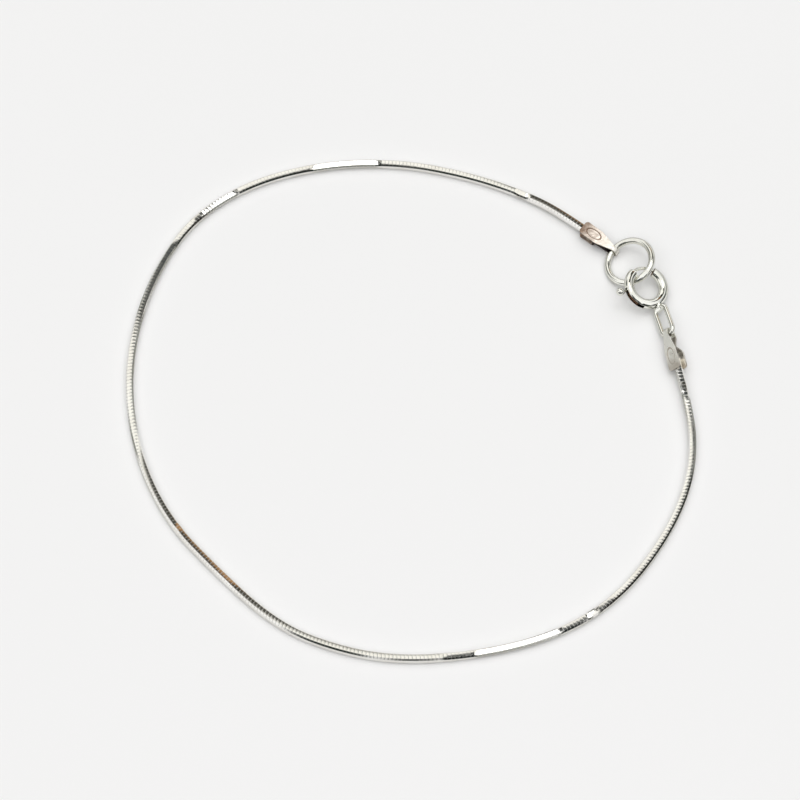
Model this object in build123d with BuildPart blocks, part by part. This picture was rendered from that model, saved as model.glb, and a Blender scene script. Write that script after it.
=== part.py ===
"""Silver snake-chain anklet with a spring-ring clasp, closed and lying on a table.

The loop lies on the plane z = 0 with +Z up and the clasp at its +X, +Y side.
The origin is under the middle of the whole loop. Millimetres throughout.
"""
import os
from math import cos, pi, radians, sin, tan

from build123d import *

# ---------------------------------------------------------------- driving sizes
CHAIN_DIAMETER = 1.06        # round form of the square snake chain
CHAIN_IN_TAG = 1.4           # length of chain held between a tag's leaves

SHEET = 0.24                 # sheet that both end tags are folded from
TAG_LENGTH = 5.9
LEAF_WIDTH = 1.86
FOLD_WIDTH = 0.64            # narrow waist of the sheet, round the ring's wire
LEAF_GAP = 1.10              # between the leaves' inner faces
EYE_RADIUS = 0.58            # inside of the fold
PINCH_START = 2.95           # where the lower leaf comes up to the upper one
PINCH_GAP = 0.03
PINCH_END = 3.20
STEP_END = 3.75              # where the lower leaf is back under the chain
CARTOUCHE = (2.1, 1.05)      # blank oval on the upper leaf
CARTOUCHE_DEPTH = 0.05
CARTOUCHE_AT = 4.05          # from the fold, along the tag

JUMP_RADIUS = 3.05           # to the middle of the wire
JUMP_WIRE = 0.86
JUMP_TAG_ANGLE = 137         # where the ring's wire passes through its tag

CLASP_RADIUS = 2.43          # to the middle of the tube
CLASP_TUBE = 1.28
CLASP_WALL = 0.12
MOUTH = (66, 136)            # open part of the clasp's ring, in degrees
SLOT = (192, 261)            # travel of the thumb bead's stem
SLOT_WIDTH = 0.54
SLOT_LEAN = 78               # from the ring's axis, outwards
LOOP_ANGLE = 309             # where the soldered loop leaves the tube
LOOP_WIRE = 0.66
LOOP_WIDTH = 2.40            # over the wire
LOOP_ROLL = 43
LOOP_INSET = 0.80            # near end of the loop from the tube's middle
SOLDER_RADIUS = 0.62         # cone of solder from the tube's middle into the loop
SOLDER_REACH = 1.05
SOLDER_TAPER = 15            # degrees
WEB_REACH = 1.42             # solid web between the loop's legs, from the tube's middle
WEB_THICKNESS = 0.50

TONGUE_WIRE = 0.44
TONGUE_RADIUS = CLASP_RADIUS + 0.20
TONGUE_HEIGHT = -0.05
TONGUE_TIP = 62              # degrees, inside the far mouth
STEM_ANGLE = 199.7
STEM_WIRE = 0.30
BEAD_DIAMETER = 1.10
BEAD_RADIUS = 4.12           # bead's distance from the clasp's axis
BEAD_HEIGHT = 0.42

# ---------------------------------------------------------------- local frames


def leaning_plane(origin, normal):
    """A plane whose X direction is the world X laid into it."""
    up = Vector(*normal).normalized()
    x_dir = (Vector(1, 0, 0) - up * up.X).normalized()
    return Plane(origin=origin, x_dir=x_dir, z_dir=up)


def tag_plane(tip, along, roll):
    """A tag's frame: X from the fold to the chain, Z out of the upper leaf."""
    x_dir = Vector(*along).normalized()
    upright = (Vector(0, 0, 1) - x_dir * x_dir.Z).normalized()
    side = x_dir.cross(upright)
    z_dir = upright * cos(radians(roll)) + side * sin(radians(roll))
    return Plane(origin=tip, x_dir=x_dir, z_dir=z_dir)


def polar(plane, radius, angle, height=0.0):
    """The point at a radius and an angle round a plane's axis."""
    spot = (radius * cos(radians(angle)), radius * sin(radians(angle)), height)
    return plane.from_local_coords(Vector(*spot))


def section_plane(plane, angle):
    """The half plane through a plane's axis: X outwards, Y along the axis."""
    outwards = polar(plane, 1, angle) - plane.origin
    return Plane(origin=plane.origin, x_dir=outwards, z_dir=outwards.cross(plane.z_dir))


JUMP_PLANE = leaning_plane((28.81, 20.09, 1.60), (-0.41, -0.036, 1))
CLASP_PLANE = leaning_plane((30.85, 16.21, 1.84), (0.363, -0.10, 1))
CLASP_AXIS = Axis(CLASP_PLANE.origin, CLASP_PLANE.z_dir)

RING_TAG_ALONG = Vector(-0.766, 0.643, 0.005)
RING_TAG_TIP = polar(JUMP_PLANE, JUMP_RADIUS, JUMP_TAG_ANGLE) - RING_TAG_ALONG * 0.80 + Vector(0, 0, 0.08)
RING_TAG_PLANE = tag_plane(RING_TAG_TIP, RING_TAG_ALONG, roll=-6)
CLASP_TAG_PLANE = tag_plane((33.42, 10.20, 1.63), (1.30, -5.74, -0.38), roll=50)

# ---------------------------------------------------------------- chain route
HELD_RUN = 5.6               # straight run out of each tag, from the chain's end
LYING = 0.53                 # height of the chain's middle where it lies down
ROUTE = [
    (13.8, 31.4, 0.58),
    (7.3, 33.8, LYING),
    (-1.0, 35.6, LYING),
    (-10.3, 35.5, LYING),
    (-19.5, 33.2, LYING),
    (-26.7, 28.9, LYING),
    (-31.6, 22.9, LYING),
    (-35.3, 13.5, LYING),
    (-36.6, 3.5, LYING),
    (-35.0, -7.3, LYING),
    (-30.7, -16.7, LYING),
    (-24.4, -23.7, LYING),
    (-17.9, -30.0, LYING),
    (-12.0, -33.4, LYING),
    (-2.9, -35.8, LYING),
    (8.0, -35.2, LYING),
    (18.2, -32.5, LYING),
    (25.7, -27.7, LYING),
    (31.2, -20.8, LYING),
    (35.0, -13.4, 0.55),
    (36.4, -6.4, 0.70),
]


def corner_radii(points):
    """The widest even arc at each inner point of a route."""
    radii = []
    for before, here, after in zip(points, points[1:], points[2:]):
        run_in = here - before
        run_out = after - here
        half_turn = radians(run_in.get_angle(run_out)) / 2
        radii.append(0.45 * min(run_in.length, run_out.length) / tan(half_turn))
    return radii


def chain_end_run(tag):
    """The chain's end between a tag's leaves, and the corner that it runs straight to."""
    held = TAG_LENGTH - CHAIN_IN_TAG
    return [tag.from_local_coords(Vector(x, 0, 0)) for x in (held, held + HELD_RUN)]


def snake_chain_tube():
    points = chain_end_run(RING_TAG_PLANE)
    points += [Vector(*point) for point in ROUTE]
    points += reversed(chain_end_run(CLASP_TAG_PLANE))
    radii = corner_radii(points)
    print("chain radii:", [round(radius, 1) for radius in radii])
    with BuildPart() as tube:
        with BuildLine() as path:
            FilletPolyline(*points, radius=radii)
        with BuildSketch(Plane(origin=path.line @ 0, z_dir=path.line % 0)):
            Circle(CHAIN_DIAMETER / 2)
        sweep()
    length = path.wire().length
    section = pi * CHAIN_DIAMETER**2 / 4
    print("chain length:", round(length, 2))
    print("volume over section times length:", round(tube.part.volume / (section * length), 4))
    return tube


# ---------------------------------------------------------------- folded end tag
def end_tag(frame):
    """One sheet folded round a wire, pinched behind it and closed on the chain."""
    side = Plane(origin=frame.origin, x_dir=frame.x_dir, z_dir=-frame.y_dir)
    leaf = LEAF_GAP / 2 + SHEET / 2
    bend = EYE_RADIUS + SHEET / 2
    fold_x = bend + SHEET / 2
    low = leaf - 2 * bend
    touch = LEAF_GAP / 2 - SHEET / 2 - PINCH_GAP
    with BuildPart() as tag:
        with BuildSketch(side):
            with BuildLine() as fold:
                Line((TAG_LENGTH, leaf), (fold_x, leaf))
                ThreePointArc((fold_x, leaf), (fold_x - bend, leaf - bend), (fold_x, low))
                FilletPolyline(
                    (fold_x, low),
                    (fold_x + 0.45, low),
                    (PINCH_START, touch),
                    (PINCH_END, touch),
                    (STEP_END, -leaf),
                    (TAG_LENGTH, -leaf),
                    radius=[0.50, 0.12, 0.12, 0.30],
                )
            trace(fold.line, line_width=SHEET)
        extrude(amount=LEAF_WIDTH, both=True)
        with BuildSketch(frame):
            with BuildLine():
                Polyline(
                    (-0.1, -FOLD_WIDTH / 2),
                    (fold_x, -FOLD_WIDTH / 2),
                    (PINCH_END, -LEAF_WIDTH / 2),
                    (TAG_LENGTH, -LEAF_WIDTH / 2),
                    (TAG_LENGTH, LEAF_WIDTH / 2),
                    (PINCH_END, LEAF_WIDTH / 2),
                    (fold_x, FOLD_WIDTH / 2),
                    (-0.1, FOLD_WIDTH / 2),
                    close=True,
                )
            outline = make_face()
            fillet(outline.vertices().group_by(Axis.X)[-1], radius=0.40)
        extrude(amount=2, both=True, mode=Mode.INTERSECT)
        with BuildSketch(frame.offset(leaf + SHEET / 2)):
            with Locations((CARTOUCHE_AT, 0)):
                Ellipse(CARTOUCHE[0] / 2, CARTOUCHE[1] / 2)
        extrude(amount=-CARTOUCHE_DEPTH, mode=Mode.SUBTRACT)
    return tag


# ---------------------------------------------------------------- rings and clasp
with BuildPart(JUMP_PLANE) as jump_ring:
    Torus(JUMP_RADIUS, JUMP_WIRE / 2)

with BuildPart() as spring_ring_case:
    with BuildSketch(section_plane(CLASP_PLANE, MOUTH[1])):
        with Locations((CLASP_RADIUS, 0)):
            Circle(CLASP_TUBE / 2)
            Circle(CLASP_TUBE / 2 - CLASP_WALL, mode=Mode.SUBTRACT)
    revolve(axis=CLASP_AXIS, revolution_arc=MOUTH[0] + 360 - MOUTH[1])

    slot_reach = CLASP_TUBE / 2
    slot_x = CLASP_RADIUS + slot_reach * sin(radians(SLOT_LEAN))
    slot_y = slot_reach * cos(radians(SLOT_LEAN))
    with BuildSketch(section_plane(CLASP_PLANE, SLOT[0])):
        with Locations((slot_x, slot_y)):
            Rectangle(0.5, SLOT_WIDTH, rotation=90 - SLOT_LEAN)
    revolve(axis=CLASP_AXIS, revolution_arc=SLOT[1] - SLOT[0], mode=Mode.SUBTRACT)

    loop_root = polar(CLASP_PLANE, CLASP_RADIUS, LOOP_ANGLE)
    loop_reach = SHEET + LOOP_WIRE / 2 + 0.29
    loop_far = CLASP_TAG_PLANE.from_local_coords(Vector(loop_reach, 0, 0))
    loop_plane = tag_plane(loop_root, loop_far - loop_root, roll=LOOP_ROLL)
    loop_bend = (LOOP_WIDTH - LOOP_WIRE) / 2
    loop_start = LOOP_INSET + loop_bend
    loop_end = (loop_far - loop_root).length - loop_bend
    with BuildLine(loop_plane) as loop_path:
        Line((loop_start, -loop_bend), (loop_end, -loop_bend))
        ThreePointArc((loop_end, -loop_bend), (loop_end + loop_bend, 0), (loop_end, loop_bend))
        Line((loop_end, loop_bend), (loop_start, loop_bend))
        ThreePointArc((loop_start, loop_bend), (loop_start - loop_bend, 0), (loop_start, -loop_bend))
    with BuildSketch(Plane(origin=loop_path.line @ 0, z_dir=loop_path.line % 0)):
        Circle(LOOP_WIRE / 2)
    sweep(path=loop_path.line)
    with BuildSketch(Plane(origin=loop_root, z_dir=loop_plane.x_dir)):
        Circle(SOLDER_RADIUS)
    extrude(amount=SOLDER_REACH, taper=SOLDER_TAPER)
    with BuildSketch(loop_plane):
        with BuildLine():
            Polyline(
                (0.35, -loop_bend / 2),
                (LOOP_INSET + 0.20, -loop_bend),
                (WEB_REACH, -loop_bend),
                (WEB_REACH, loop_bend),
                (LOOP_INSET + 0.20, loop_bend),
                (0.35, loop_bend / 2),
                close=True,
            )
        make_face()
    extrude(amount=WEB_THICKNESS / 2, both=True)

with BuildPart() as clasp_trigger:
    with BuildSketch(section_plane(CLASP_PLANE, TONGUE_TIP)):
        with Locations((TONGUE_RADIUS, TONGUE_HEIGHT)):
            Circle(TONGUE_WIRE / 2)
    revolve(axis=CLASP_AXIS, revolution_arc=STEM_ANGLE - TONGUE_TIP)
    for end_angle in (TONGUE_TIP, STEM_ANGLE):
        with Locations(polar(CLASP_PLANE, TONGUE_RADIUS, end_angle, TONGUE_HEIGHT)):
            Sphere(TONGUE_WIRE / 2)
    stem_root = polar(CLASP_PLANE, TONGUE_RADIUS, STEM_ANGLE, TONGUE_HEIGHT)
    bead_middle = polar(CLASP_PLANE, BEAD_RADIUS, STEM_ANGLE, BEAD_HEIGHT)
    with BuildSketch(Plane(origin=stem_root, z_dir=bead_middle - stem_root)):
        Circle(STEM_WIRE / 2)
    extrude(amount=(bead_middle - stem_root).length)
    with Locations(bead_middle):
        Sphere(BEAD_DIAMETER / 2)

# ---------------------------------------------------------------- pieces on their tags
ring_end_tag = end_tag(RING_TAG_PLANE)
clasp_end_tag = end_tag(CLASP_TAG_PLANE)
snake_chain = snake_chain_tube()

# ---------------------------------------------------------------- export
PIECES = {
    "snake_chain": snake_chain,
    "ring_end_tag": ring_end_tag,
    "jump_ring": jump_ring,
    "spring_ring_case": spring_ring_case,
    "clasp_trigger": clasp_trigger,
    "clasp_end_tag": clasp_end_tag,
}

os.makedirs("parts", exist_ok=True)
for name, piece in PIECES.items():
    piece.part.label = name
    export_step(piece.part, f"parts/{name}.step")
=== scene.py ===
"""Silver snake-chain anklet with a spring-ring clasp: its finished surfaces, floor, light and camera.

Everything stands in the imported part's frame: +Z up, the loop lying on z = 0, lengths in metres. The sizes
listed below are in millimetres and are multiplied by MM where they are used.
"""
from math import cos, pi, radians, sin, tan

import bmesh
import bpy
import numpy as np
from mathutils import Matrix, Vector


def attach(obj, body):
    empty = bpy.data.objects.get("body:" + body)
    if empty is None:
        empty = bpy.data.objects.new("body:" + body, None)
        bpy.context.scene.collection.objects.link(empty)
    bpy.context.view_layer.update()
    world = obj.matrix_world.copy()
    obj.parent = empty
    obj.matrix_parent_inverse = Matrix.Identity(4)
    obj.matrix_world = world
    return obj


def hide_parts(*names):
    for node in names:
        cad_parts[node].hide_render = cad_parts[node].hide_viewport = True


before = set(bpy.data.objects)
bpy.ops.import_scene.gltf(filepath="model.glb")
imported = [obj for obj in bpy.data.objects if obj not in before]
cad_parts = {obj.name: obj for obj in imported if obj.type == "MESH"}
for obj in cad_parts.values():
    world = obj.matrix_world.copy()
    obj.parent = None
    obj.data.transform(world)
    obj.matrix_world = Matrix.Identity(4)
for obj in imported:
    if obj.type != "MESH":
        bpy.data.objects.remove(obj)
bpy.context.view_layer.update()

MM = 0.001

# ---------------------------------------------------------------- sizes, in millimetres unless noted
CHAIN_WIDTH = 0.98           # across the flats of the square chain
CHAIN_CORNER = 0.20          # cut off each of its long edges
CHAIN_CROWN = 0.012          # how far each flat swells at its middle
LINK_PITCH = 0.482
LINK_GROOVE = 0.972          # size of the groove between two links, against the link
LINK_LAND = 0.45             # where the groove starts, from the link's middle, in pitches
LINK_PILLOW = 0.004          # how far each link swells at its middle
FLOOR_REST = 0.53            # height of the chain's middle where the route lies down
LINK_CREASE = 15             # degrees; a fold of the chain's skin sharper than this stays crisp

ROUTE_STEPS = 32             # places on the smooth line for each point of the route
ROUTE = [
    (23.912, 24.578, 0.928),
    (19.623, 28.178, 0.956),
    (13.8, 31.4, 0.58),
    (7.3, 33.8, 0.53),
    (-1.0, 35.6, 0.53),
    (-10.3, 35.5, 0.53),
    (-19.5, 33.2, 0.53),
    (-26.7, 28.9, 0.53),
    (-31.6, 22.9, 0.53),
    (-35.3, 13.5, 0.53),
    (-36.6, 3.5, 0.53),
    (-35.0, -7.3, 0.53),
    (-30.7, -16.7, 0.53),
    (-24.4, -23.7, 0.53),
    (-17.9, -30.0, 0.53),
    (-12.0, -33.4, 0.53),
    (-2.9, -35.8, 0.53),
    (8.0, -35.2, 0.53),
    (18.2, -32.5, 0.53),
    (25.7, -27.7, 0.53),
    (31.2, -20.8, 0.53),
    (35.0, -13.4, 0.55),
    (36.4, -6.4, 0.70),
    (35.646, 0.370, 0.979),
    (34.412, 5.820, 1.340),
]

# local frames of the findings: origin in millimetres, then the X and Z axes
RING_TAG = ((27.359, 21.685, 0.906), (-0.7659, 0.6429, 0.005), (-0.0634, -0.0833, 0.9945))
CLASP_TAG = ((33.42, 10.2, 1.63), (0.2204, -0.9733, -0.0644), (-0.738, -0.2096, 0.6415))
CLASP = ((30.85, 16.21, 1.84), (0.9405, 0.0338, -0.338), (0.3397, -0.0936, 0.9359))
CLASP_RADIUS = 2.43          # of the ring-shaped tube's middle line
TUBE_INSIDE = 0.53           # what lies nearer than this to the tube's middle line is its bore
TAG_LENGTH = 5.9
LEAF_INSIDE = 0.57           # half the space between a tag's two leaves
EYE_REACH = (2.3, 1.4)       # middle and half length of a tag's dark inside, along the tag
CARTOUCHE = (4.05, 1.05, 0.525)   # blank oval on a tag's upper leaf: place, half length, half width
CARTOUCHE_LINE = (1.06, 0.11)     # middle and half width of the line round it, in sizes of the oval
SHEET_EDGE = 0.045           # rounding of the pressed sheet's edges
TUBE_EDGE = 0.025            # rounding of the cut edges of the clasp's tube
EDGE_STEPS = 2               # facets across each rounding
SHARP_EDGE = 38              # degrees; an edge sharper than this is rounded
FLAT_WEIGHT = 90             # how strongly the broad faces, not the roundings, set the shading
FLAT_EDGE = 0.2              # degrees; facets that differ by less are one flat
CUT_REACH = 0.001            # a cut through a link takes in the corners within this
LINK_JOIN = 0.002            # corners of two links within this are one
FACET_JOIN = 0.0005          # corners of a solid's facets within this are one
ON_PLANE = 0.01              # share of a link's half size that still counts as on a plane
ROLL_STEPS = 4               # places in each link where the chain's lean is worked out
ROLL_BLUR = 3                # steps to each side over which a change of lean is spread

# distance along the chain, and degrees by which its upper flat leans towards the inside of the loop
CHAIN_ROLL = [
    (0.0, -5.6),
    (9.8, -5.6),
    (10.3, 10.0),
    (11.4, 10.0),
    (11.9, -2.5),
    (16.0, -1.0),
    (30.5, 0.5),
    (31.0, 10.0),
    (39.3, 10.0),
    (40.0, 1.0),
    (50.2, 0.5),
    (50.7, 10.0),
    (55.6, 10.0),
    (56.2, 4.0),
    (57.0, 4.0),
    (57.6, 0.0),
    (60.5, 1.0),
    (62.0, 8.0),
    (72.0, 7.0),
    (79.0, 0.0),
    (90.0, 0.0),
    (95.0, 6.0),
    (104.7, 9.5),
    (104.9, 15.0),
    (105.7, 15.0),
    (106.0, 10.5),
    (111.0, 11.0),
    (115.0, 13.0),
    (117.0, 9.0),
    (121.0, 8.0),
    (124.5, 6.6),
    (128.0, 6.2),
    (132.0, 6.2),
    (144.5, 5.9),
    (145.5, 1.3),
    (148.8, 1.3),
    (149.2, -10.0),
    (159.8, -10.0),
    (160.3, 1.2),
    (164.0, 1.2),
    (164.3, -10.0),
    (165.4, -10.0),
    (165.9, 1.2),
    (167.4, 1.2),
    (168.0, 3.0),
    (177.5, 3.0),
    (184.0, 3.5),
    (190.0, 5.0),
    (199.0, 5.0),
    (199.7, -0.2),
    (200.3, -5.0),
    (200.9, -5.0),
    (201.4, -0.4),
    (206.0, -0.4),
]


# ---------------------------------------------------------------- selecting and editing
def clear_selection():
    if bpy.context.object and bpy.context.object.mode != "OBJECT":
        bpy.ops.object.mode_set(mode="OBJECT")
    bpy.ops.object.select_all(action="DESELECT")


def choose(piece):
    """Select one piece and nothing else."""
    clear_selection()
    piece.select_set(True)
    bpy.context.view_layer.objects.active = piece


def open_for_editing(piece, mode):
    choose(piece)
    bpy.ops.object.mode_set(mode="EDIT")
    bpy.ops.mesh.select_mode(type=mode)
    bpy.ops.mesh.select_all(action="DESELECT")


def pick(piece, kind, wanted):
    """Select the verts, edges or faces that pass a test, in edit mode."""
    grid = bmesh.from_edit_mesh(piece.data)
    for part in getattr(grid, kind):
        part.select = wanted(part)
    grid.select_flush_mode()
    bmesh.update_edit_mesh(piece.data)


def apply_modifiers(piece):
    choose(piece)
    for modifier in list(piece.modifiers):
        bpy.ops.object.modifier_apply(modifier=modifier.name)


# ---------------------------------------------------------------- the chain
def route_points():
    """Close points along the route's smooth line, in metres."""
    curve = bpy.data.curves.new("chain_route", "CURVE")
    curve.dimensions = "3D"
    curve.resolution_u = ROUTE_STEPS
    spline = curve.splines.new("NURBS")
    spline.points.add(len(ROUTE) - 1)
    for point, place in zip(spline.points, ROUTE):
        point.co = (place[0] * MM, place[1] * MM, place[2] * MM, 1)
    spline.order_u = 3
    spline.use_endpoint_u = True
    line = bpy.data.objects.new("chain_route", curve)
    mesh = bpy.data.meshes.new_from_object(line)
    points = np.array([vertex.co[:] for vertex in mesh.vertices])
    bpy.data.objects.remove(line)
    bpy.data.curves.remove(curve)
    bpy.data.meshes.remove(mesh)
    return points


def cut_across(place, normal):
    """Cut the whole piece in edit mode by a plane."""
    bpy.ops.mesh.select_all(action="SELECT")
    bpy.ops.mesh.bisect(plane_co=place, plane_no=normal, threshold=CUT_REACH * MM)


def chain_link():
    """One link's skin, open at both ends: X along the chain, its middle at the origin."""
    clear_selection()
    bpy.ops.mesh.primitive_cube_add(size=1)
    link = bpy.context.object
    link.scale = (LINK_PITCH * MM, CHAIN_WIDTH * MM, CHAIN_WIDTH * MM)
    bpy.ops.object.transform_apply(scale=True)
    half = LINK_PITCH * MM / 2
    side = CHAIN_WIDTH * MM / 2

    open_for_editing(link, "FACE")
    pick(link, "faces", lambda face: abs(face.normal.x) > 1 - ON_PLANE)
    bpy.ops.mesh.delete(type="ONLY_FACE")
    bpy.ops.mesh.select_mode(type="EDGE")
    pick(link, "edges", lambda edge: abs(edge.verts[0].co.x - edge.verts[1].co.x) > half)
    bpy.ops.mesh.bevel(offset=CHAIN_CORNER * MM, segments=1)

    cut_across((0, 0, 0), (0, 1, 0))
    cut_across((0, 0, 0), (0, 0, 1))
    for share in (-LINK_LAND, 0, LINK_LAND):
        cut_across((share * LINK_PITCH * MM, 0, 0), (1, 0, 0))

    swell = 1 + CHAIN_CROWN * MM / side
    pillow = 1 - LINK_PILLOW * MM / side
    shaping = (
        (lambda vertex: abs(vertex.co.y) < side * ON_PLANE, (1, 1, swell)),
        (lambda vertex: abs(vertex.co.z) < side * ON_PLANE, (1, swell, 1)),
        (lambda vertex: abs(vertex.co.x) > half * ON_PLANE, (1, pillow, pillow)),
        (lambda vertex: abs(vertex.co.x) > half * (1 - ON_PLANE), (1, LINK_GROOVE, LINK_GROOVE)),
    )
    bpy.ops.mesh.select_mode(type="VERT")
    for wanted, size in shaping:
        pick(link, "verts", wanted)
        bpy.ops.transform.resize(value=size, center_override=(0, 0, 0))
    bpy.ops.object.mode_set(mode="OBJECT")
    return link


def resting_height(roll):
    """How far the chain's middle lies above the floor that its lowest edge touches."""
    side = CHAIN_WIDTH / 2
    flat = side - CHAIN_CORNER
    return side * abs(cos(roll)) + flat * abs(sin(roll)) + CHAIN_CROWN


def at_distance(distance, reach, line):
    """Places on a line at some distances along it."""
    return np.stack([np.interp(distance, reach, line[:, axis]) for axis in range(3)], axis=1)


def unit(vectors):
    return vectors / np.linalg.norm(vectors, axis=1)[:, None]


def chain_lean(length, links):
    """Distances along the chain and its lean at each, in radians, with its changes spread out."""
    distances, degrees = np.array(CHAIN_ROLL).T
    steps = np.linspace(0, length, ROLL_STEPS * links + 1)
    lean = np.interp(steps / MM, distances, np.radians(degrees))
    window = np.hanning(2 * ROLL_BLUR + 1)
    padded = np.pad(lean, ROLL_BLUR, mode="edge")
    return steps, np.convolve(padded, window / window.sum(), mode="valid")


def snake_chain():
    """Copies of one link along the route, joined into one skin and closed at its ends."""
    line = route_points()
    runs = np.linalg.norm(np.diff(line, axis=0), axis=1)
    reach = np.concatenate(([0], np.cumsum(runs)))
    length = reach[-1]
    links = round(length / (LINK_PITCH * MM))
    pitch = length / links
    steps, lean = chain_lean(length, links)

    link = chain_link()
    skin = np.array([vertex.co[:] for vertex in link.data.vertices])
    # sorted, because Blender can list a cut mesh's faces in another order from run to run
    faces = sorted(tuple(face.vertices) for face in link.data.polygons)
    bpy.data.objects.remove(link)

    places = []
    cells = []
    for number in range(links):
        along = (number + 0.5) * pitch + skin[:, 0] * pitch / (LINK_PITCH * MM)
        along = np.clip(along, 0, length)
        before = np.clip(along - pitch, 0, length)
        after = np.clip(along + pitch, 0, length)
        heading = unit(at_distance(after, reach, line) - at_distance(before, reach, line))
        inner = unit(np.cross((0, 0, 1), heading))
        upper = np.cross(heading, inner)
        roll = np.interp(along, steps, lean)
        cosine = np.cos(roll)[:, None]
        sine = np.sin(roll)[:, None]
        top = upper * cosine + inner * sine
        flank = inner * cosine - upper * sine
        middle = at_distance(along, reach, line)
        lift = np.array([resting_height(angle) for angle in roll]) - FLOOR_REST
        middle[:, 2] += lift * MM
        places.append(middle + flank * skin[:, 1:2] + top * skin[:, 2:3])
        base = number * len(skin)
        cells += [tuple(index + base for index in face) for face in faces]

    mesh = bpy.data.meshes.new("snake_chain_links")
    mesh.from_pydata(np.vstack(places).tolist(), [], cells)
    chain = bpy.data.objects.new("snake_chain_links", mesh)
    bpy.context.scene.collection.objects.link(chain)

    open_for_editing(chain, "VERT")
    bpy.ops.mesh.select_all(action="SELECT")
    bpy.ops.mesh.remove_doubles(threshold=LINK_JOIN * MM)
    bpy.ops.mesh.select_all(action="DESELECT")
    bpy.ops.mesh.select_non_manifold()
    bpy.ops.mesh.fill_holes(sides=0)
    bpy.ops.mesh.select_all(action="SELECT")
    bpy.ops.mesh.normals_make_consistent(inside=False)
    choose(chain)
    bpy.ops.object.shade_smooth_by_angle(angle=radians(LINK_CREASE))
    return chain


# ---------------------------------------------------------------- the findings
def softened(node, edge):
    """A copy of a CAD piece, its facets joined and its sharp edges rounded as polishing leaves them."""
    piece = bpy.data.objects.new(node + "_polished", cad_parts[node].data.copy())
    bpy.context.scene.collection.objects.link(piece)
    open_for_editing(piece, "VERT")
    bpy.ops.mesh.select_all(action="SELECT")
    bpy.ops.mesh.remove_doubles(threshold=FACET_JOIN * MM)
    bpy.ops.mesh.dissolve_limited(angle_limit=radians(FLAT_EDGE))
    bpy.ops.object.mode_set(mode="OBJECT")
    bevel = piece.modifiers.new("rounded_edges", "BEVEL")
    bevel.width = edge * MM
    bevel.segments = EDGE_STEPS
    bevel.limit_method = "ANGLE"
    bevel.angle_limit = radians(SHARP_EDGE)
    bevel.use_clamp_overlap = True
    apply_modifiers(piece)
    bpy.ops.object.shade_smooth()
    level = piece.modifiers.new("level_flats", "WEIGHTED_NORMAL")
    level.weight = FLAT_WEIGHT
    apply_modifiers(piece)
    return piece


# ---------------------------------------------------------------- finishes
# painted shade at the rims: these dark edge tints dim the silver's reflection where it turns from the eye
RIM_SHADE_TINT = 0.34                     # how bright the findings' silver stays where it turns from the eye
CHAIN_RIM_SHADE_TINT = 0.75
EDGE_WARMTH = 0.95                   # its blue, against its red and green
# painted shade inside the clasp's tube: its bore is given this darker, browner tone
BORE_SHADE = (0.62, 0.52, 0.45)
CLOUDS = (0.35, 0.62)                # the part of a noise over which tarnish turns into clean silver
CLOUD_SCALE = 260.0                  # patterns on the metal, in turns a metre
WEAR_SCALE = 900.0
SCRATCH_SCALE = 5200.0
WEAR = (0.7, 1.5)                    # least and most roughness, against the plain one
SCRATCH_DEPTH = 0.01                 # millimetres
TAG_CLOUD_SCALE = 0.9                # patterns on a tag, in turns a millimetre
TAG_DENT_SCALE = 2.5
TAG_DRIFT = 0.7                      # how far the tag's clouds move its tones along it
TAG_STOPS = (0.10, 0.60, 0.95)       # where its three tones are at their purest, from eye to chain
TAG_ROUGHNESS = 0.3
TAG_WEAR = (0.2, 0.42)               # its least and most roughness
TAG_DENTS = 0.7                      # their strength
TAG_DENT_DEPTH = 0.06                # millimetres
MIX_SHARE, MIX_FIRST, MIX_SECOND, MIX_RESULT = 0, 6, 7, 2   # a colour Mix node's inputs and output


class Nodes:
    """A node tree whose nodes are made and joined by short calls."""

    def __init__(self, tree):
        self.nodes = tree.nodes
        self.links = tree.links

    def put(self, value, socket):
        """Give a socket another node's output, or a plain value."""
        if isinstance(value, bpy.types.NodeSocket):
            self.links.new(value, socket)
        else:
            socket.default_value = value

    def node(self, kind, settings=None, **inputs):
        made = self.nodes.new(kind)
        for key, value in (settings or {}).items():
            setattr(made, key, value)
        for key, value in inputs.items():
            self.put(value, made.inputs[key.replace("_", " ")])
        return made

    def maths(self, operation, *values):
        made = self.node("ShaderNodeMath", {"operation": operation})
        for value, socket in zip(values, made.inputs):
            self.put(value, socket)
        return made.outputs["Value"]

    def length(self, first, second):
        """The long side of a right-angled triangle, from its two short ones."""
        squares = [self.maths("POWER", side, 2.0) for side in (first, second)]
        return self.maths("SQRT", self.maths("ADD", *squares))

    def eased(self, value, start, end):
        """0 before the start, 1 past the end, and a smooth change between."""
        made = self.node(
            "ShaderNodeMapRange", {"interpolation_type": "SMOOTHSTEP"},
            Value=value, From_Min=start, From_Max=end,
        )
        return made.outputs["Result"]

    def mixed(self, share, first, second):
        """A colour between two, each a plain colour or an output."""
        blend = self.node("ShaderNodeMix", {"data_type": "RGBA"})
        self.put(share, blend.inputs[MIX_SHARE])
        for colour, place in ((first, MIX_FIRST), (second, MIX_SECOND)):
            if not isinstance(colour, bpy.types.NodeSocket):
                colour = (*colour, 1)
            self.put(colour, blend.inputs[place])
        return blend.outputs[MIX_RESULT]

    def ramp(self, share, places, colours):
        """A colour that runs through several, each at its place from 0 to 1."""
        made = self.node("ShaderNodeValToRGB", Fac=share)
        stops = made.color_ramp.elements
        stops.remove(stops[1])
        stops[0].position = places[0]
        stops[0].color = (*colours[0], 1)
        for place, colour in zip(places[1:], colours[1:]):
            stops.new(place).color = (*colour, 1)
        return made.outputs["Color"]


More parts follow.
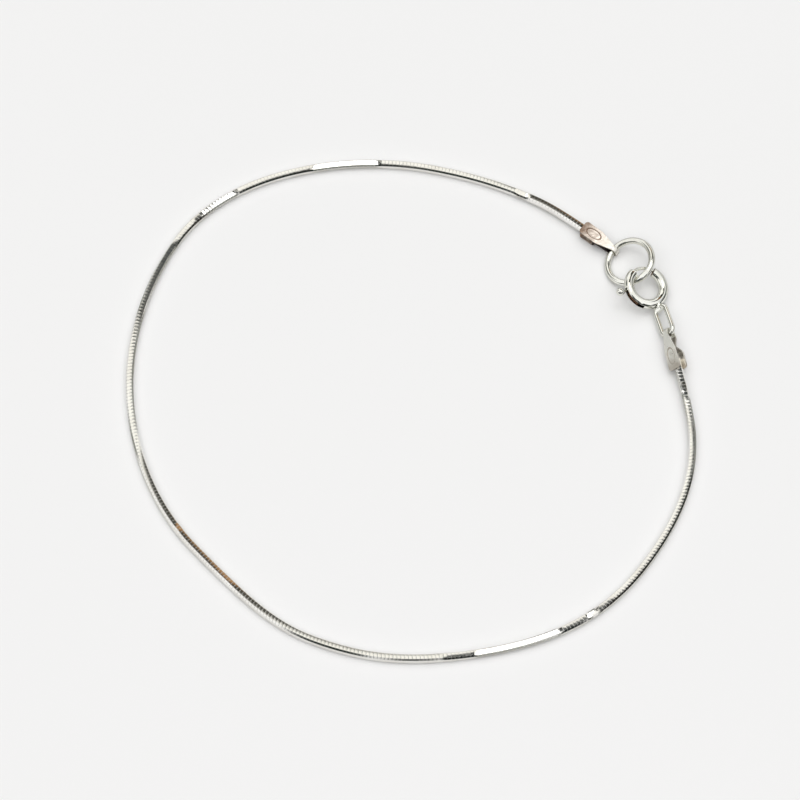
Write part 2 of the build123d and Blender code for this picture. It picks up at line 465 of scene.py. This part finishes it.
class Finish(Nodes):
    """A material, with the parts that several of them share."""

    def __init__(self, name, rough, metallic=1.0, edge=RIM_SHADE_TINT):
        self.material = bpy.data.materials.new(name)
        self.material.use_nodes = True
        super().__init__(self.material.node_tree)
        self.shader = self.nodes["Principled BSDF"]
        self.shader.inputs["Metallic"].default_value = metallic
        self.shader.inputs["Roughness"].default_value = rough
        # painted shade: the dark edge tint dims the silver's reflection at its rims
        if metallic:
            self.shader.inputs["Specular Tint"].default_value = (edge, edge, edge * EDGE_WARMTH, 1)

    def feed(self, socket, value):
        self.put(value, self.shader.inputs[socket])

    def seated(self, seat):
        """A finding's own coordinates in millimetres, from its frame."""
        origin, along, out = (Vector(axis) for axis in seat)
        turn = Matrix((along, out.cross(along), out)).transposed().to_euler()
        mapping = self.node(
            "ShaderNodeMapping", {"vector_type": "TEXTURE"},
            Vector=self.node("ShaderNodeTexCoord").outputs["Object"],
            Location=origin * MM, Rotation=turn, Scale=(MM, MM, MM),
        )
        return mapping.outputs["Vector"]

    def uneven_polish(self, place, scale, detail, spread):
        """Roughness that wanders between two values; gives back its pattern."""
        wear = self.node("ShaderNodeTexNoise", Vector=place, Scale=scale, Detail=detail).outputs["Fac"]
        polish = self.node("ShaderNodeMapRange", Value=wear, To_Min=spread[0], To_Max=spread[1])
        self.feed("Roughness", polish.outputs["Result"])
        return wear

    def relief(self, height, strength, depth):
        bump = self.node("ShaderNodeBump", Height=height, Strength=strength, Distance=depth * MM)
        self.feed("Normal", bump.outputs["Normal"])


def silver(name, colour, tarnish, rough, scratch, bore=False, edge=RIM_SHADE_TINT):
    """Polished silver: clouds of tarnish, uneven polish, fine scratches; a tube is given painted shade inside
    its bore.
    """
    finish = Finish(name, rough, edge=edge)
    place = finish.node("ShaderNodeTexCoord").outputs["Object"]
    clouds = finish.node("ShaderNodeTexNoise", Vector=place, Scale=CLOUD_SCALE, Detail=4.0, Roughness=0.6)
    clean = finish.node(
        "ShaderNodeMapRange", Value=clouds.outputs["Fac"], From_Min=CLOUDS[0], From_Max=CLOUDS[1]
    )
    tone = finish.mixed(clean.outputs["Result"], tarnish, colour)
    # painted shade: what lies inside the tube's bore takes the darker, browner tone
    if bore:
        parts = finish.node("ShaderNodeSeparateXYZ", Vector=finish.seated(CLASP)).outputs
        across = finish.length(parts["X"], parts["Y"])
        depth = finish.length(finish.maths("SUBTRACT", across, CLASP_RADIUS), parts["Z"])
        tone = finish.mixed(finish.maths("LESS_THAN", depth, TUBE_INSIDE), tone, BORE_SHADE)
    finish.feed("Base Color", tone)
    spread = [rough * share for share in WEAR]
    finish.uneven_polish(place, scale=WEAR_SCALE, detail=3.0, spread=spread)
    lines = finish.node("ShaderNodeTexNoise", Vector=place, Scale=SCRATCH_SCALE, Detail=2.0)
    finish.relief(lines.outputs["Fac"], scratch, SCRATCH_DEPTH)
    return finish.material


def tag_silver(name, seat, tones, inside):
    """Satin pressed silver, its three tones from eye to chain, with painted shade between the leaves."""
    finish = Finish(name, TAG_ROUGHNESS)
    place = finish.seated(seat)
    parts = finish.node("ShaderNodeSeparateXYZ", Vector=place).outputs
    clouds = finish.node("ShaderNodeTexNoise", Vector=place, Scale=TAG_CLOUD_SCALE, Detail=4.0, Roughness=0.6)
    reach = finish.node("ShaderNodeMapRange", Value=parts["X"], From_Min=0.0, From_Max=TAG_LENGTH)
    drift = finish.maths("MULTIPLY", finish.maths("SUBTRACT", clouds.outputs["Fac"], 0.5), TAG_DRIFT)
    tone = finish.ramp(finish.maths("ADD", reach.outputs["Result"], drift), TAG_STOPS, tones)

    at, half_length, half_width = CARTOUCHE
    along = finish.maths("DIVIDE", finish.maths("SUBTRACT", parts["X"], at), half_length)
    oval = finish.length(along, finish.maths("DIVIDE", parts["Y"], half_width))
    middle, half_line = CARTOUCHE_LINE
    off_line = finish.maths("ABSOLUTE", finish.maths("SUBTRACT", oval, middle))
    rim = finish.maths("LESS_THAN", off_line, half_line)
    upper = finish.maths("GREATER_THAN", parts["Z"], LEAF_INSIDE)
    outlined = finish.mixed(finish.maths("MULTIPLY", rim, upper), tone, tones[2])

    # painted shade: between the leaves, near the eye, the tag takes a dark colour
    hidden = finish.maths("LESS_THAN", finish.maths("ABSOLUTE", parts["Z"]), LEAF_INSIDE)
    eye = finish.maths("COMPARE", parts["X"], *EYE_REACH)
    finish.feed("Base Color", finish.mixed(finish.maths("MULTIPLY", hidden, eye), outlined, inside))
    wear = finish.uneven_polish(place, scale=TAG_DENT_SCALE, detail=4.0, spread=TAG_WEAR)
    finish.relief(wear, TAG_DENTS, TAG_DENT_DEPTH)
    return finish.material


def dress(piece, material):
    piece.data.materials.clear()
    piece.data.materials.append(material)


# ---------------------------------------------------------------- floor, light, camera
FLOOR_SIZE = 3.0                       # metres
FLOOR_TONES = ((0.86, 0.86, 0.855), (0.90, 0.895, 0.90))
FLOOR_CLOUD_SCALE = 3.0                # in turns a metre
FLOOR_ROUGHNESS = 0.62
FLOOR_GLOSS = 0.2


def pale_floor():
    clear_selection()
    bpy.ops.mesh.primitive_plane_add(size=FLOOR_SIZE, location=(0, 0, 0))
    floor = bpy.context.object
    floor.name = "pale_floor"
    finish = Finish("pale_card", FLOOR_ROUGHNESS, metallic=0.0)
    place = finish.node("ShaderNodeTexCoord").outputs["Object"]
    clouds = finish.node("ShaderNodeTexNoise", Vector=place, Scale=FLOOR_CLOUD_SCALE, Detail=2.0)
    finish.feed("Base Color", finish.ramp(clouds.outputs["Fac"], (0.0, 1.0), FLOOR_TONES))
    finish.shader.inputs["Specular IOR Level"].default_value = FLOOR_GLOSS
    dress(floor, finish.material)


TENT_SIDE = (0.10, 0.10, 0.10)         # what reaches the floor from the tent's sides
TENT_TOP = (1.495, 1.495, 1.485)       # and from its top, which is also the backdrop
TOP_START = (0.45, 0.80)               # where the one turns into the other, as sines of the elevation
TENT_WALL = (1.01, 1.01, 1.005)        # what the silver mirrors of it
LAMP = (20, 82, 10.0, 2.6)             # azimuth (0 +Y, 90 +X), elevation and radius in degrees, strength
LAMP_DISTANCE = 2.0                    # metres

GREEN_SHADE = (0.10, 0.13, 0.12)
BROWN_SHADE = (0.12, 0.11, 0.10)
TAN_SHADE = (0.30, 0.28, 0.22)
GREY_CARD = (0.30, 0.32, 0.30)
SLIT_SHADE = (0.10, 0.13, 0.13)
# cards and openings that the silver mirrors, each over those before it:
# azimuth, elevation, radius and soft edge in degrees, colour, strength
STUDIO_CARDS = [
    (172, 10, 40, 3, GREEN_SHADE, 0.12),
    (0, 90, 57.7, 1, TENT_WALL, 1.00),
    (0, -90, 102, 3, (0.28, 0.29, 0.27), 1.00),
    (180, 44, 11, 2, GREEN_SHADE, 0.15),
    (212, 20, 16, 3, GREEN_SHADE, 0.15),
    (231, 13, 12, 3, BROWN_SHADE, 0.25),
    (146, 32, 10, 2, GREEN_SHADE, 0.15),
    (-68, 27, 13, 5, GREY_CARD, 0.38),
    (70, 28, 13, 5, GREY_CARD, 0.50),
    (4, 62, 24, 6, (0.97, 0.96, 0.90), 1.10),
    (32, 50, 16, 2.5, TAN_SHADE, 0.14),
    (4, 41.5, 10.5, 3, TAN_SHADE, 0.16),
    (20, 42, 6, 3, (0.85, 0.48, 0.22), 0.50),
    (205, 50, 12, 4, (0.07, 0.11, 0.11), 0.20),
    (206, 26, 12, 3, GREEN_SHADE, 0.25),
    (114, 17, 14, 3, BROWN_SHADE, 0.20),
    (90, 10, 13, 3, (0.12, 0.13, 0.12), 0.25),
]
SLITS = ((0, 68.5), (14, 68.5), (28, 69), (42, 71))   # azimuth and elevation of four narrow openings
STUDIO_CARDS += [(*slit, 4.5, 0.7, SLIT_SHADE, 0.15) for slit in SLITS]


def towards(azimuth, elevation):
    flat = cos(radians(elevation))
    return sin(radians(azimuth)) * flat, cos(radians(azimuth)) * flat, sin(radians(elevation))


def softbox():
    """One round light almost overhead."""
    azimuth, elevation, radius, strength = LAMP
    away = Vector(towards(azimuth, elevation))
    light = bpy.data.lights.new("softbox", "AREA")
    light.shape = "DISK"
    light.size = 2 * LAMP_DISTANCE * tan(radians(radius))
    light.energy = strength * pi * pi * (light.size / 2) ** 2
    stand = bpy.data.objects.new("softbox", light)
    bpy.context.scene.collection.objects.link(stand)
    stand.location = away * LAMP_DISTANCE
    stand.rotation_euler = away.to_track_quat("Z", "Y").to_euler()


def tent():
    """A pale tent: the silver mirrors its cards and openings, and the floor is lit from its top."""
    world = bpy.data.worlds.new("tent")
    bpy.context.scene.world = world
    world.use_nodes = True
    cloth = Nodes(world.node_tree)
    direction = cloth.node("ShaderNodeTexCoord").outputs["Generated"]
    mirrored = TENT_WALL
    for azimuth, elevation, radius, edge, tint, strength in STUDIO_CARDS:
        facing = cloth.node("ShaderNodeVectorMath", {"operation": "DOT_PRODUCT"})
        cloth.put(direction, facing.inputs[0])
        cloth.put(towards(azimuth, elevation), facing.inputs[1])
        rim = [cos(radians(radius + side * edge)) for side in (1, -1)]
        card = tuple(channel * strength for channel in tint)
        mirrored = cloth.mixed(cloth.eased(facing.outputs["Value"], *rim), mirrored, card)

    height = cloth.node("ShaderNodeSeparateXYZ", Vector=direction).outputs["Z"]
    ray = cloth.node("ShaderNodeLightPath").outputs
    top = cloth.maths("MAXIMUM", cloth.eased(height, *TOP_START), ray["Is Camera Ray"])
    glow = cloth.mixed(top, TENT_SIDE, TENT_TOP)
    seen = cloth.mixed(ray["Is Glossy Ray"], glow, mirrored)
    cloth.put(seen, cloth.nodes["Background"].inputs["Color"])


LENS = 157.5
SENSOR = 36
CAMERA_NEAR = 0.01                     # metres
CAMERA_DISTANCE = 0.4516               # metres
CAMERA_ELEVATION = 63.5
CAMERA_TARGET = (-1.30, 0.64, 0)       # millimetres


def camera():
    lens = bpy.data.cameras.new("camera")
    lens.lens = LENS
    lens.sensor_width = SENSOR
    lens.clip_start = CAMERA_NEAR
    stand = bpy.data.objects.new("camera", lens)
    bpy.context.scene.collection.objects.link(stand)
    elevation = radians(CAMERA_ELEVATION)
    away = Vector((0, -cos(elevation), sin(elevation)))
    stand.location = Vector(CAMERA_TARGET) * MM + away * CAMERA_DISTANCE
    stand.rotation_euler = away.to_track_quat("Z", "Y").to_euler()
    bpy.context.scene.camera = stand


# ---------------------------------------------------------------- assembly
POLISHED = ((0.93, 0.93, 0.87), (0.80, 0.79, 0.72))   # clean and tarnished tones of the findings
BRIGHT_SILVER = silver("bright_silver", *POLISHED, rough=0.06, scratch=0.06)
CASE_SILVER = silver("case_silver", *POLISHED, rough=0.06, scratch=0.06, bore=True)
CHAIN_SILVER = silver(
    "chain_silver", (0.93, 0.92, 0.89), (0.85, 0.83, 0.79), rough=0.10, scratch=0.20, edge=CHAIN_RIM_SHADE_TINT
)
# each tag's last colour is the painted shade between its leaves
RING_TAG_SILVER = tag_silver(
    "ring_tag_silver", RING_TAG,
    tones=((0.86, 0.83, 0.77), (0.80, 0.72, 0.65), (0.24, 0.17, 0.13)), inside=(0.08, 0.06, 0.06),
)
CLASP_TAG_SILVER = tag_silver(
    "clasp_tag_silver", CLASP_TAG,
    tones=((0.93, 0.92, 0.86), (0.97, 0.95, 0.89), (0.60, 0.55, 0.48)), inside=(0.50, 0.47, 0.42),
)

chain = snake_chain()
dress(chain, CHAIN_SILVER)
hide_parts("snake_chain")
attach(chain, "anklet")

dress(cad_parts["jump_ring"], BRIGHT_SILVER)
SOFTENED = (
    ("ring_end_tag", "anklet", SHEET_EDGE, RING_TAG_SILVER),
    ("clasp_end_tag", "anklet", SHEET_EDGE, CLASP_TAG_SILVER),
    ("spring_ring_case", "anklet", TUBE_EDGE, CASE_SILVER),
    ("clasp_trigger", "trigger", TUBE_EDGE, BRIGHT_SILVER),
)
for node, body, edge, material in SOFTENED:
    piece = softened(node, edge)
    dress(piece, material)
    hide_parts(node)
    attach(piece, body)

pale_floor()
softbox()
tent()
camera()
bpy.context.scene.view_settings.view_transform = "Standard"
